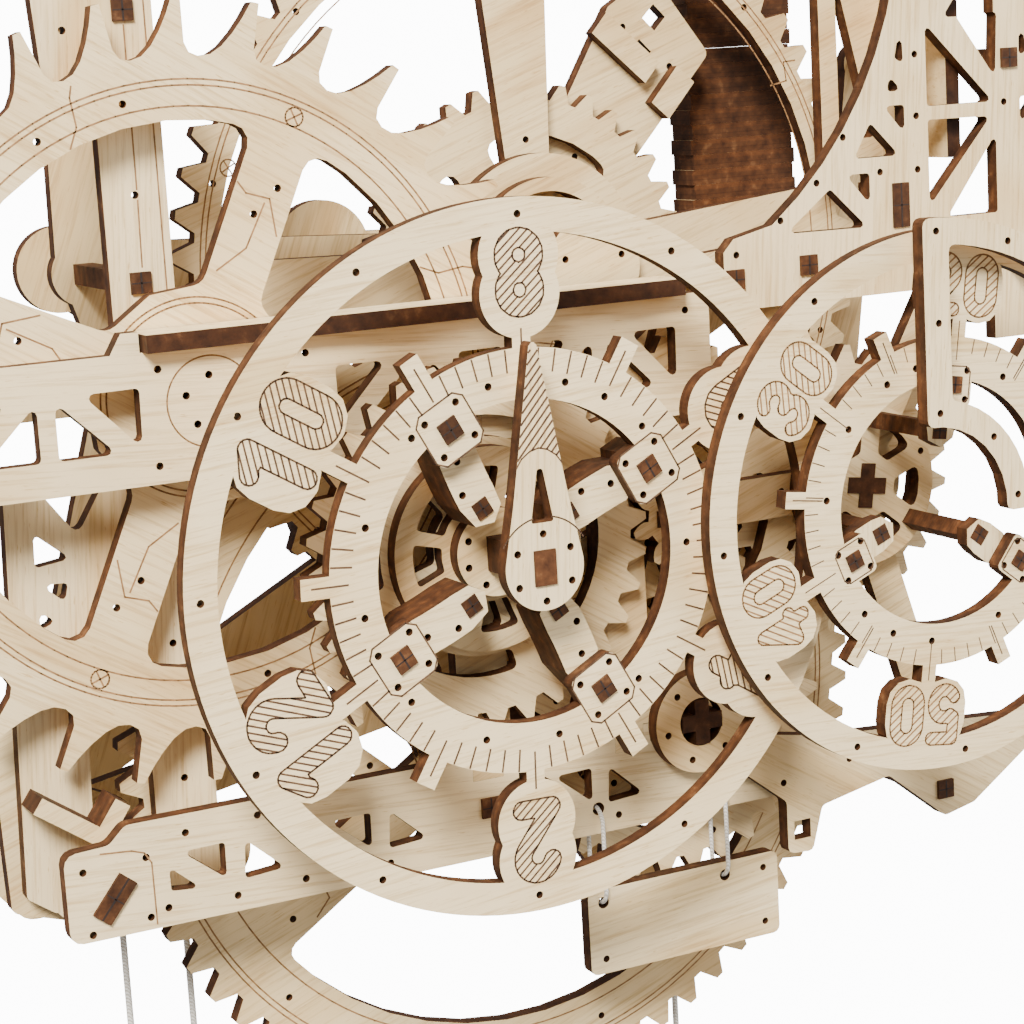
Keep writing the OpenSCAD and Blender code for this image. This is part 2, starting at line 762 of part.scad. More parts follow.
// Round pins for the two guide pulleys and for the fixed end of the weight's cord.
module pulley_pins() {
  color(wood_dark) {
    for (x = [guide_left_x, guide_right_x]) {
      slab(y_mid + ply + 4.4, y_rear + ply) disc_at([x, guide_z], pin_r);
      slab(y_mid + ply + 3.6, y_mid + ply + 4.4) disc_at([x, guide_z], pin_r + 2);
    }
    slab(y_great + ply + 0.6, y_rear - 5) disc_at(hook_at, 2);
  }
}

module guide_pulley(x, y) {
  color(wood) {
    slab(y - 1.2, y + 1.2) difference() {
      disc_at([x, guide_z], guide_r - cord_r - 0.05);
      disc_at([x, guide_z], pin_r + 0.06);
    }
    for (side = [-2.4, 1.2]) slab(y + side, y + side + 1.2) difference() {
      disc_at([x, guide_z], guide_r + 1);
      disc_at([x, guide_z], pin_r + 0.06);
      translate([x, guide_z]) peg_circle(4.6, 4);
    }
  }
}

module left_guide_pulley() {
  guide_pulley(guide_left_x, y_cord);
}

module right_guide_pulley() {
  guide_pulley(guide_right_x, y_pull_cord);
}

// Cord that stays in place: over the guides to the drum, and up from the fixed hook.
module guide_cords() {
  color(cord_colour) {
    guided_cord(guide_left_x, y_cord, 1);
    guided_cord(guide_right_x, y_pull_cord, -1);
    strand(hook_at[0], y_cord, guide_z, hook_at[1] - 2);
    translate([hook_at[0], y_cord - wall_depth, hook_at[1]]) rotate([90, 0, 0])
      rotate_extrude() translate([2 + cord_r, 0]) circle(cord_r);
  }
}

module guided_cord(x, y, side) {
  top = guide_z + guide_r;
  drum_x = great_at[0] - side * 0.5;
  translate([0, y - wall_depth, 0]) {
    translate([min(x, drum_x), 0, top]) rotate([0, 90, 0]) cylinder(r = cord_r, h = abs(drum_x - x));
    translate([x, 0, guide_z]) rotate([90, 0, 0]) rotate(side > 0 ? 90 : 0)
      rotate_extrude(angle = 90) translate([guide_r, 0]) circle(cord_r);
  }
}

// ---------- hour hand work ----------

tick_in = 27.6;
tick_out = 36.2;
hour_ring_in = 55.3;
hour_block_r = 27.3;
petal_r = 48.2;

// Plate of a numeral: two round lobes for one figure, or two boxes side by side for two.
module petal(digits, lobe, r, reach) {
  if (digits == 1) {
    disc_at([r + lobe * 0.45, 0], lobe);
    disc_at([r - lobe * 0.42, 0], lobe);
  } else {
    for (side = [-1, 1]) translate([r, side * lobe * 0.68]) round_box(2.1 * lobe, 1.56 * lobe, lobe * 0.74);
  }
  translate([r, -lobe * 0.8]) square([reach - r, lobe * 1.6]);
}

module hour_dial() {
  color(wood) sheet(0) rotate(hour_turn) difference() {
    union() {
      difference() {
        circle(hour_r);
        circle(hour_ring_in);
      }
      circle(tick_out);
      for (i = [0 : 5]) rotate(90 + 60 * i) {
        petal(i == 0 || i == 3 || i == 4 || i == 5 ? 1 : 2, 7.4, petal_r, hour_ring_in + 1);
        translate([tick_in + 2, -1.7]) square([15, 3.4]);
      }
      for (i = [0 : 5]) rotate(60 + 60 * i) translate([tick_in + 2, -1.8]) square([11.6, 3.6]);
    }
    difference() {
      circle(tick_in);
      for (i = [0 : 3]) rotate(30 + 90 * i) translate([hour_block_r, 0]) round_box(9.6, 9.6, 1.2);
    }
    for (i = [0 : 3]) rotate(30 + 90 * i) translate([hour_block_r, 0]) {
      bar_hole([0, 0]);
      pegs([[3.3, 3.3], [3.3, -3.3], [-3.3, 3.3], [-3.3, -3.3]]);
    }
    peg_circle(58.2, 12, 0);
    pegs([for (a = [9, 52, 69, 84, 111, 141, 172, 200, 232, 262, 288, 321]) polar(30.8, a - 9)]);
  }
}

module hour_bars() {
  color(wood_dark) for (i = [0 : 3]) rotate([0, -(30 + hour_turn + 90 * i), 0]) {
    bar([hour_block_r, 0], -0.5, y_hour_arm + 3 * ply);
    bar([11.6, 1.2], y_hour_arm - 0.3, y_hour_wheel + ply, ply, ply);
  }
}

// Curved arm from a block on the dial in to the hub.
module arm_outline(outer, inner, bend, w) {
  polygon(concat(
    rounded([[outer, -w / 2], [outer, w / 2], [outer - w, w / 2 + bend * 0.2]], 0.8, 1),
    [for (i = [1 : 5]) let (t = i / 6) [outer - w - (outer - w - inner) * t, w / 2 + bend * (0.2 + sin(90 * t))]],
    [[inner - w * 0.3, bend + w * 0.4], [inner - w * 0.5, bend - w * 0.1], [inner - w * 0.2, bend - w * 0.5]],
    [for (i = [5 : -1 : 1]) let (t = i / 6) [outer - w - (outer - w - inner) * t, -w / 2 + bend * sin(90 * t) - 0.4]]));
}

module hour_arms() {
  color(wood) for (i = [0 : 3]) rotate([0, -(30 + hour_turn + 90 * i), 0])
    sheet(y_hour_arm, 3) difference() {
      arm_outline(30.6, 11.6, 1.2, 6.6);
      bar_hole([hour_block_r, 0]);
      bar_hole([11.6, 1.2], ply, ply);
      pegs([[21, 0.8], [15.6, 3]]);
    }
}

module hour_ring() {
  color(wood) sheet(y_hour_ring) rotate(hour_turn) difference() {
    circle(18);
    circle(6.06);
    for (i = [0 : 3]) rotate(30 + 90 * i) {
      bar_hole([11.6, 1.2], ply, ply);
      polygon(window_points(9.2, 14.6, 8, 44, 1.5, 0.6));
      polygon(window_points(9.2, 14.6, 48, 84, 1.5, 0.6));
    }
  }
}

module hour_wheel() {
  color(wood) sheet(y_hour_wheel) difference() {
    gear(hour_teeth, hour_module, hour_wheel_turn);
    circle(6.06);
    rotate(hour_turn) for (i = [0 : 3]) rotate(30 + 90 * i) {
      bar_hole([11.6, 1.2], ply, ply);
      polygon(window_points(19.4, 23.2, 20, 78, 2, 1));
      polygon(window_points(9.4, 14.8, 12, 78, 2, 1));
      pegs([[21.4, 0]]);
    }
  }
}

// ---------- minute hand work ----------

minute_block_r = 21.2;
minute_tick_in = 22.2;
minute_tick_out = 29.8;
minute_ring_in = 43.7;
minute_base = 90 + minute_turn;

module minute_dial() {
  color(wood) sheet(y_minute_dial) translate(minute_at) rotate(minute_base) difference() {
    union() {
      difference() {
        circle(minute_r);
        circle(minute_ring_in);
      }
      circle(minute_tick_out);
      for (i = [0 : 5]) rotate(60 * i) {
        petal(2, 6, 38.6, minute_ring_in + 1);
        translate([minute_tick_in + 2, -1.5]) square([12, 3]);
      }
      for (i = [0 : 5]) rotate(30 + 60 * i) translate([minute_tick_in + 2, -1.5]) square([9.6, 3]);
    }
    difference() {
      circle(minute_tick_in);
      for (i = [0 : 2]) rotate(120 * i) translate([minute_block_r, 0]) round_box(7.6, 7.6, 1);
    }
    for (i = [0 : 2]) rotate(120 * i) translate([minute_block_r, 0]) {
      bar_hole([0, 0], ply, ply);
      pegs([[2.6, 2.6], [2.6, -2.6], [-2.6, 2.6], [-2.6, -2.6]]);
    }
    peg_circle(46.6, 12, 12);
    pegs([for (a = [20, 35, 60, 90, 143, 160, 180, 215, 266, 285, 300, 335]) polar(25.3, a)]);
  }
}

module minute_bars() {
  color(wood_dark) for (i = [0 : 2])
    translate([minute_at[0], 0, minute_at[1]]) rotate([0, -(minute_base + 120 * i), 0]) {
      bar([minute_block_r, 0], y_minute_dial - 0.4, y_minute_arm + ply, ply, ply);
      bar([12.6, 0], y_minute_arm - 0.1, y_minute_hub + ply, ply, ply);
    }
}

module minute_arms() {
  color(wood) for (i = [0 : 2])
    translate([minute_at[0], 0, minute_at[1]]) rotate([0, -(minute_base + 120 * i), 0])
      sheet(y_minute_arm) difference() {
        arm_outline(24, 12.6, 0, 6);
        bar_hole([minute_block_r, 0], ply, ply);
        bar_hole([12.6, 0], ply, ply);
      }
}

module minute_hub() {
  color(wood) sheet(y_minute_hub) translate(minute_at) rotate(minute_base) difference() {
    circle(15.2);
    cross_section(slot_clear);
    for (i = [0 : 2]) rotate(120 * i) {
      bar_hole([12.6, 0], ply, ply);
      polygon(window_points(6.4, 12, 0, 60, 4, 1));
      polygon(window_points(6.4, 12, 60, 120, 4, 1));
    }
    peg_circle(13.6, 3, 60);
  }
}

module minute_wheel() {
  color(wood) sheet(y_escape) translate(minute_at) difference() {
    gear(minute_wheel_teeth, drive_module, minute_wheel_turn);
    rotate(minute_base) cross_section(slot_clear);
    spoke_windows(8, 18.5, 5, 4, 20);
  }
}

// ---------- arbors: a cross axle with its pinion ----------

module minute_arbor() {
  color(wood_dark) translate([minute_at[0], 0, minute_at[1]]) rotate([0, -minute_base, 0])
    cross_axle([0, 0], y_minute_hub - 0.3, y_mid + ply + 0.2);
  color(wood) sheet(y_reduction) translate(minute_at) difference() {
    gear(minute_pinion_teeth, reduction_module, minute_pinion_turn, 3);
    rotate(minute_base) cross_section(slot_clear);
  }
}

module reduction_wheel() {
  color(wood) sheet(y_reduction) translate(reduction_at)
    spoked_gear(reduction_teeth, reduction_module, reduction_wheel_turn, 7, 9, 4, 6, 20);
}

module reduction_arbor() {
  color(wood_dark) cross_axle(reduction_at, y_hour_wheel - 0.4, y_mid + ply + 0.2);
  color(wood) sheet(y_hour_wheel) translate(reduction_at) difference() {
    gear(pinion_teeth, hour_module, reduction_pinion_turn, 3);
    cross_section(slot_clear);
  }
}

module relay_wheel() {
  color(wood) sheet(y_escape) translate(relay_at)
    spoked_gear(relay_pinion_teeth, drive_module, relay_pinion_turn, 7.5, 8.5, 4, 5, 35);
}

module relay_arbor() {
  color(wood_dark) cross_axle(relay_at, y_tower - 0.4, y_mid + ply + 0.2);
  color(wood) sheet(y_relay) translate(relay_at) difference() {
    gear(relay_wheel_teeth, relay_module, relay_wheel_turn, 2);
    cross_section(slot_clear);
    peg_circle(14, 5, 0);
  }
}

module great_wheel() {
  color(wood) sheet(y_great) translate(great_at)
    spoked_gear(great_teeth, great_module, great_wheel_turn, 13.4, 16, 4, 11, 33);
}

module great_arbor() {
  color(wood_dark) cross_axle(great_at, y_relay, y_rear + ply + 0.4);
  color(wood) sheet(y_relay) translate(great_at) difference() {
    gear(pinion_teeth, relay_module, great_pinion_turn, 3);
    cross_section(slot_clear);
  }
}

ratchet_teeth = 16;
ratchet_r = 19;

function ratchet_points() = [for (i = [0 : ratchet_teeth - 1])
  let (a = 360 / ratchet_teeth * i)
    each [polar(ratchet_r, a), polar(ratchet_r - 3, a + 1)]];

// Springy click on the back of the great wheel; its tip rests just off the ratchet.
module click() {
  color(wood) sheet(y_click) translate(great_at) rotate(200) difference() {
    polygon(rounded([[ratchet_r + 9, -7], [ratchet_r + 13, -4], [ratchet_r + 6, 8],
      [ratchet_r + 0.6, 15.5], [ratchet_r + 0.4, 12], [ratchet_r + 3, 4]], 0.5, 1));
    pegs([[ratchet_r + 9, -3]]);
  }
}

module upper_wheel() {
  color(wood) sheet(y_upper) translate(upper_at)
    spoked_gear(upper_teeth, escape_module, upper_wheel_turn, 6.6, 18, 4, 9, 2, 6);
}

module upper_hub() {
  color(wood) translate([upper_at[0], 0, upper_at[1]]) {
    sheet(y_upper - ply) difference() {
      circle(20.4);
      cross_section(slot_clear);
      spoke_windows(7, 13.6, 3, 4, 15, 1);
    }
    sheet(y_upper - 2 * ply) difference() {
      circle(16);
      circle(13.4);
    }
    sheet(y_upper + ply) difference() {
      gear(34, 1.9, 0);
      cross_section(slot_clear);
      spoke_windows(9, 24, 4, 8, 30);
    }
  }
}

module upper_arbor() {
  color(wood_dark) cross_axle(upper_at, y_mid, y_rear + ply + 0.4);
  color(wood) sheet(y_great) translate(upper_at) difference() {
    gear(pinion_teeth, great_module, upper_pinion_turn, 3);
    cross_section(slot_clear);
  }
}

// ---------- escapement ----------

tip_turn = 40.3;
// One tooth of the escape wheel, clockwise from its tip: [radius, angle past the tip].
tooth_profile = [[66.1, 0.65], [66.1, -0.55], [58.5, -0.9], [56.9, -1.7], [56.3, -3.4], [56.7, -5.4],
  [58.2, -7.3], [60.6, -9], [63.2, -10.3]];

function escape_points() = [for (i = [0 : escape_teeth - 1])
  let (a = tip_turn - 360 / escape_teeth * i)
    each [for (t = tooth_profile) polar(t[0], a + t[1])]];

module escape_wheel() {
  color(wood) sheet(y_escape) translate(escape_at) difference() {
    polygon(escape_points());
    spoke_windows(19, 46, 4, 10.6, 66, 3);
    cross_section(slot_clear);
    for (i = [0 : 3]) rotate(66 + 90 * i) pegs([polar(49.8, 34), polar(49.8, 52), [37.6, -2], [32.1, 0.6]]);
  }
}

module escape_arbor() {
  color(wood_dark) cross_axle(escape_at, y_reduction, y_rear + ply + 0.4);
  color(wood) {
    sheet(y_reduction + 0.3) translate(escape_at) difference() {
      circle(8.6);
      cross_section(slot_clear);
    }
    sheet(y_upper) translate(escape_at) difference() {
      gear(pinion_teeth, escape_module, escape_pinion_turn, 3);
      cross_section(slot_clear);
    }
  }
}

// Anchor with two pallets that stand just outside the circle of the tooth tips.
pallet_clear = 4.3;

// Lower half of the anchor's outline, from its crown down and round the pallet.
function anchor_half() = let (
    tip = escape_at + polar(escape_r + pallet_clear, 180 + anchor_span),
    heel = escape_at + polar(escape_r + pallet_clear, 174 + anchor_span),
    a = anchor_at
  )
  [[a[0] + 8.5, a[1] - 18], heel, tip, tip + [-3.6, 1], tip + [-8, 8],
    [a[0] + 1.5, a[1] - 24], [a[0] - 3, a[1] - 10]];

module anchor() {
  half = anchor_half();
  far = [for (i = [len(half) - 1 : -1 : 0]) [half[i][0], 2 * anchor_at[1] - half[i][1]]];
  color(wood) sheet(y_escape) difference() {
    union() {
      polygon(rounded(concat(half, far), 0.8, 2));
      disc_at(anchor_at, 10);
    }
    translate(anchor_at) cross_section(slot_clear);
    pegs([anchor_at + [5, 20], anchor_at + [5, -20]]);
  }
}

module anchor_arbor() {
  color(wood_dark) cross_axle(anchor_at, y_front - 0.5, y_pendulum + ply + 0.4);
}

module pendulum_rod() {
  color(wood) sheet(y_pendulum) difference() {
    union() {
      disc_at(anchor_at, 9);
      translate(anchor_at + [-4, -pendulum_length - 12]) square([8, pendulum_length + 12]);
    }
    translate(anchor_at) cross_section(slot_clear);
    for (i = [1 : 5]) pegs([anchor_at + [0, -36 * i]]);
  }
}

module pendulum_bob() {
  centre = anchor_at - [0, pendulum_length];
  color(wood) {
    sheet(y_pendulum - ply) disc_at(centre, 25);
    sheet(y_pendulum + ply) disc_at(centre, 25);
    sheet(y_pendulum - 2 * ply) difference() {
      disc_at(centre, 18);
      disc_at(centre, 10);
    }
  }
}

// ---------- weight drive ----------

module drum() {
  color(wood) translate([great_at[0], 0, great_at[1]]) {
    sheet(y_drum) difference() {
      polygon(ratchet_points());
      circle(bearing_r);
    }
    slab(y_drum + ply, y_drum + ply + 6.6) difference() {
      circle(drum_r - cord_r - 0.05);
      circle(bearing_r);
    }
    slab(y_drum + ply + 6.6, y_drum + 2 * ply + 6.6) difference() {
      circle(16);
      circle(bearing_r);
      peg_circle(13.6, 6);
    }
  }
}

module weight() {
  centre = [weight_x, -weight_drop];
  color(wood) {
    for (y = [y_cord - 6.6, y_cord + 3.6]) slab(y, y + ply) difference() {
      polygon(rounded([centre + [-7, 9], centre + [7, 9], centre + [7, -26], centre + [-7, -26]], 2));
      disc_at(centre, 1.6);
    }
    for (i = [0 : 14]) translate([centre[0], y_cord - wall_depth, centre[1] - 26 - ply * (i + 1)])
      rotate(22.5) cylinder(r = i % 7 == 0 ? 21 : 19, h = ply, $fn = 8);
  }
}

module weight_pulley() {
  centre = [weight_x, -weight_drop];
  color(wood) {
    slab(y_cord - 1.2, y_cord + 1.2) difference() {
      disc_at(centre, guide_r - cord_r - 0.05);
      disc_at(centre, 1.65);
    }
    slab(y_cord - 3.4, y_cord - 1.2) difference() {
      disc_at(centre, guide_r + 1.6);
      disc_at(centre, 1.65);
    }
    slab(y_cord + 1.2, y_cord + 3.4) difference() {
      disc_at(centre, guide_r + 1.6);
      disc_at(centre, 1.65);
    }
  }
}

module weight_strands() {
  for (s = [-1, 1]) strand(weight_x + s * guide_r, y_cord, -weight_drop, guide_z);
}

module pull_strand() {
  strand(guide_right_x + guide_r, y_pull_cord, knob_z, guide_z);
}

module strand(x, y, low, top) {
  color(cord_colour) translate([x, y - wall_depth, low]) cylinder(r = cord_r, h = top - low);
}

module pull_knob() {
  color(wood) translate([guide_right_x + guide_r, y_pull_cord - wall_depth, knob_z - 14]) {
    cylinder(r1 = 8, r2 = 8, h = 4);
    translate([0, 0, 4]) cylinder(r = 5.5, h = 6);
    translate([0, 0, 10]) cylinder(r = 3.6, h = 4);
  }
}

wall_plate();
rear_frame();
spacer_bars();
upper_beam();
upper_shelf();
lower_beam();
front_bridge();
relay_plate();
middle_frame();
bearing_cap();
left_post();
left_side_plate();
tower_front();
tower_rib();
tower_rear();
tower_column();
rear_bracket();
name_plate();
name_plate_loops();
minute_frame();
minute_frame_posts();
hour_pointer();
hour_post();
pulley_pins();
left_guide_pulley();
right_guide_pulley();
guide_cords();
hour_dial();
hour_bars();
hour_arms();
hour_ring();
hour_wheel();
minute_dial();
minute_bars();
minute_arms();
minute_hub();
minute_wheel();
minute_arbor();
reduction_wheel();
reduction_arbor();
relay_wheel();
relay_arbor();
great_wheel();
great_arbor();
click();
upper_wheel();
upper_hub();
upper_arbor();
escape_wheel();
escape_arbor();
anchor();
anchor_arbor();
pendulum_rod();
pendulum_bob();
drum();
weight();
weight_pulley();
weight_strands();
pull_strand();
pull_knob();
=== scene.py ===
import math
import random

import bpy
from mathutils import Matrix, Vector


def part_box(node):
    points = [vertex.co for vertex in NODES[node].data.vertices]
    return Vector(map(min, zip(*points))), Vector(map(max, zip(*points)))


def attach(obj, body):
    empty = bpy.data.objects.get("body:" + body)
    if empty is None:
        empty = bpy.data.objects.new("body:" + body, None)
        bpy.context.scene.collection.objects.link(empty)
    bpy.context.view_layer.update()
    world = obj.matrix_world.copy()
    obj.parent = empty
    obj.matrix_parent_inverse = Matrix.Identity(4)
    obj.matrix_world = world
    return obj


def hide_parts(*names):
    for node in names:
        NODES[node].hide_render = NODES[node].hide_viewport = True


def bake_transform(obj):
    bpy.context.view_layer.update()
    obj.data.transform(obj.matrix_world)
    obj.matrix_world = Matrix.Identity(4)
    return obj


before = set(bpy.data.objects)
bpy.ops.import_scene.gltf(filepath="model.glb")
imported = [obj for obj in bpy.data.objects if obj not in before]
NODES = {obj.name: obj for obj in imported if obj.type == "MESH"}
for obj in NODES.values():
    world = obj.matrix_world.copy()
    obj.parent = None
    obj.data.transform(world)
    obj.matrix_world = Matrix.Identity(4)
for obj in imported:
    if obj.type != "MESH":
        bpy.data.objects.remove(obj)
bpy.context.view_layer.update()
MM = 0.001

# ---------- camera ----------
# Solved from the circles and the tick pitches of the dials in the photograph.
AZ, EL, ROLL = (math.radians(a) for a in (-26.25, 10.27, -3.42))
CAMERA_AT = (-0.18329, -0.45052, 0.08295)
CAMERA_LENS = 87.5

back = Vector((math.sin(AZ) * math.cos(EL), -math.cos(AZ) * math.cos(EL), math.sin(EL)))
right = Vector((0, 0, 1)).cross(back).normalized()
up = back.cross(right)
right, up = (right * math.cos(ROLL) + up * math.sin(ROLL), up * math.cos(ROLL) - right * math.sin(ROLL))
cam_data = bpy.data.cameras.new("camera")
cam_data.lens = CAMERA_LENS
cam_data.sensor_width = 36
cam_data.clip_start = 0.01
cam = bpy.data.objects.new("camera", cam_data)
bpy.context.scene.collection.objects.link(cam)
turn = Matrix((right, up, back)).transposed().to_4x4()
cam.matrix_world = Matrix.Translation(CAMERA_AT) @ turn
bpy.context.scene.camera = cam

# ---------- arbors, in millimetres: x to the right and z up from the hour arbor ----------
HOUR = (0.0, 0.0)
MINUTE = (80.7, 0.4)
GREAT = (12.9, -35.5)
UPPER = (32.4, 45.2)
ESCAPE = (-46.3, 30.6)
# Where the 8 of the hour dial and the 20 of the minute dial stand at rest, in degrees.
EIGHT_AT = 90 - 1.6
TWENTY_AT = 82.0


def polar(centre, r, deg):
    a = math.radians(deg)
    return (centre[0] + r * math.cos(a), centre[1] + r * math.sin(a))


# ---------- materials ----------
# Scales of the noises along the sheet's x, its depth and its z: a larger one is finer.
FINE_GRAIN = (60, 300, 1500)
SLOW_BANDS = (7, 30, 62)
FLECKS = (260, 400, 2600)
EVEN = (1, 1, 1)
# Thickness of a sheet, in metres.
PLY = 0.003


def new_material(name):
    material = bpy.data.materials.new(name)
    material.use_nodes = True
    tree = material.node_tree
    tree.nodes.clear()
    out = tree.nodes.new("ShaderNodeOutputMaterial")
    shader = tree.nodes.new("ShaderNodeBsdfPrincipled")
    tree.links.new(shader.outputs[0], out.inputs[0])
    return material, tree, shader


def node(tree, kind, **values):
    n = tree.nodes.new(kind)
    for key, value in values.items():
        if key.startswith("in_"):
            n.inputs[int(key[3:]) if key[3:].isdigit() else key[3:]].default_value = value
        else:
            setattr(n, key, value)
    return n


def ramp(tree, source, stops):
    r = tree.nodes.new("ShaderNodeValToRGB")
    while len(r.color_ramp.elements) < len(stops):
        r.color_ramp.elements.new(0.5)
    for element, (at, colour) in zip(r.color_ramp.elements, stops):
        element.position = at
        element.color = (*colour, 1)
    tree.links.new(source, r.inputs[0])
    return r.outputs[0]


def mix(tree, kind, factor, a, b):
    n = tree.nodes.new("ShaderNodeMix")
    n.data_type = "RGBA"
    n.blend_type = kind
    for value, socket in ((factor, n.inputs[0]), (a, n.inputs[6]), (b, n.inputs[7])):
        if hasattr(value, "links"):
            tree.links.new(value, socket)
        else:
            socket.default_value = value if socket == n.inputs[0] else (*value, 1)
    return n.outputs[2]


def add_bump(tree, shader, height, strength, distance):
    bump = node(tree, "ShaderNodeBump", in_Strength=strength, in_Distance=distance)
    tree.links.new(height, bump.inputs["Height"])
    tree.links.new(bump.outputs[0], shader.inputs["Normal"])


def mapped(tree, angle, scale, offset):
    """Object coordinates turned about Y by angle and scaled, for the grain of a sheet."""
    coord = tree.nodes.new("ShaderNodeTexCoord")
    spin = node(tree, "ShaderNodeMapping", in_Rotation=(0, angle, 0), in_Location=offset)
    stretch = node(tree, "ShaderNodeMapping", in_Scale=scale)
    tree.links.new(coord.outputs["Object"], spin.inputs[0])
    tree.links.new(spin.outputs[0], stretch.inputs[0])
    return stretch.outputs[0]


def noise(tree, scale, detail, roughness=0.5, distortion=0.0):
    return node(tree, "ShaderNodeTexNoise", in_Scale=scale, in_Detail=detail, in_Roughness=roughness,
                in_Distortion=distortion)


def face_material(name, angle, seed, tone=1.0, warm=0.0):
    """Birch veneer with its grain at angle: fine grain, slow bands, short flecks and faint cloudy stains."""
    rnd = random.Random(seed)
    offset = tuple(rnd.uniform(-0.4, 0.4) for _ in range(3))
    material, tree, shader = new_material(name)
    fine = noise(tree, 1.0, 5.0, 0.62)
    tree.links.new(mapped(tree, angle, FINE_GRAIN, offset), fine.inputs["Vector"])
    bands = noise(tree, 1.0, 3.0, 0.5, 0.6)
    tree.links.new(mapped(tree, angle, SLOW_BANDS, offset), bands.inputs["Vector"])
    fleck = noise(tree, 1.0, 2.0, 0.7)
    tree.links.new(mapped(tree, angle, FLECKS, offset), fleck.inputs["Vector"])
    stain = noise(tree, 26.0, 3.0, 0.55)
    tree.links.new(mapped(tree, angle, EVEN, offset), stain.inputs["Vector"])
    white = (1, 1, 1)
    pale = (0.90 * tone, (0.705 - 0.05 * warm) * tone, (0.405 - 0.08 * warm) * tone)
    tan = (0.76 * tone, (0.545 - 0.05 * warm) * tone, (0.265 - 0.05 * warm) * tone)
    base = ramp(tree, bands.outputs[0], [(0.30, tan), (0.46, pale), (0.70, pale), (0.82, tan)])
    grain = ramp(tree, fine.outputs[0], [(0.30, (0.66, 0.55, 0.42)), (0.52, white), (1.0, white)])
    ray = ramp(tree, fleck.outputs[0], [(0.28, (0.70, 0.56, 0.40)), (0.36, white), (1.0, white)])
    cloud = ramp(tree, stain.outputs[0], [(0.30, (0.78, 0.64, 0.46)), (0.50, white), (1.0, white)])
    colour = mix(tree, "MULTIPLY", 0.75, base, grain)
    colour = mix(tree, "MULTIPLY", 0.7, colour, ray)
    colour = mix(tree, "MULTIPLY", 0.55, colour, cloud)
    tree.links.new(colour, shader.inputs["Base Color"])
    shader.inputs["Roughness"].default_value = 0.55
    shader.inputs["Specular IOR Level"].default_value = 0.28
    add_bump(tree, shader, fine.outputs[0], 0.16, 0.0001)
    return material


def edge_material(name, seed, axis=1, tone=1.0):
    """Laser-burnt edge of ply: dark and uneven, with bands of the veneers across the sheet's axis."""
    rnd = random.Random(seed)
    offset = tuple(rnd.uniform(-0.4, 0.4) for _ in range(3))
    material, tree, shader = new_material(name)
    char = noise(tree, 420.0, 4.0, 0.6)
    tree.links.new(mapped(tree, 0, EVEN, offset), char.inputs["Vector"])
    drift = noise(tree, 55.0, 2.0)
    tree.links.new(mapped(tree, 0, EVEN, offset), drift.inputs["Vector"])
    dark = (0.030 * tone, 0.011 * tone, 0.004 * tone)
    mid = (0.075 * tone, 0.030 * tone, 0.011 * tone)
    light = (0.19 * tone, 0.092 * tone, 0.038 * tone)
    base = ramp(tree, char.outputs[0], [(0.30, dark), (0.60, mid), (0.85, light)])
    slow = ramp(tree, drift.outputs[0],
                [(0.35, (0.62, 0.58, 0.55)), (0.62, (1.35, 1.25, 1.15)), (1.0, (1.7, 1.5, 1.3))])
    colour = mix(tree, "MULTIPLY", 0.8, base, slow)
    # The coordinate across the sheet, folded back and forth every half sheet, gives the bands.
    coord = tree.nodes.new("ShaderNodeTexCoord")
    split = tree.nodes.new("ShaderNodeSeparateXYZ")
    tree.links.new(coord.outputs["Object"], split.inputs[0])
    fold = node(tree, "ShaderNodeMath", operation="PINGPONG", in_1=PLY / 2)
    tree.links.new(split.outputs[axis], fold.inputs[0])
    grow = node(tree, "ShaderNodeMath", operation="DIVIDE", in_1=PLY / 2)
    tree.links.new(fold.outputs[0], grow.inputs[0])
    band = ramp(tree, grow.outputs[0],
                [(0.0, (0.45, 0.40, 0.36)), (0.10, (1, 1, 1)), (0.62, (1, 1, 1)), (0.72, (1.5, 1.4, 1.25))])
    colour = mix(tree, "MULTIPLY", 0.6, colour, band)
    tree.links.new(colour, shader.inputs["Base Color"])
    shader.inputs["Roughness"].default_value = 0.72
    shader.inputs["Specular IOR Level"].default_value = 0.22
    add_bump(tree, shader, char.outputs[0], 0.35, 0.00015)
    return material


def burn_material(name, dark, light, scale):
    material, tree, shader = new_material(name)
    mottle = noise(tree, scale, 3.0)
    tree.links.new(mapped(tree, 0, EVEN, (0, 0, 0)), mottle.inputs["Vector"])
    colour = ramp(tree, mottle.outputs[0], [(0.30, dark), (0.70, light)])
    tree.links.new(colour, shader.inputs["Base Color"])
    shader.inputs["Roughness"].default_value = 0.8
    return material


def cord_material():
    """Pale cotton with slanting strands."""
    material, tree, shader = new_material("cord_cotton")
    coord = tree.nodes.new("ShaderNodeTexCoord")
    wave = node(tree, "ShaderNodeTexWave", wave_type="BANDS", bands_direction="DIAGONAL",
                in_Scale=900.0, in_Distortion=1.0)
    tree.links.new(coord.outputs["Object"], wave.inputs["Vector"])
    colour = ramp(tree, wave.outputs["Fac"], [(0.1, (0.66, 0.60, 0.50)), (0.6, (0.90, 0.86, 0.78))])
    tree.links.new(colour, shader.inputs["Base Color"])
    shader.inputs["Roughness"].default_value = 0.9
    add_bump(tree, shader, wave.outputs["Fac"], 0.5, 0.0002)
    return material


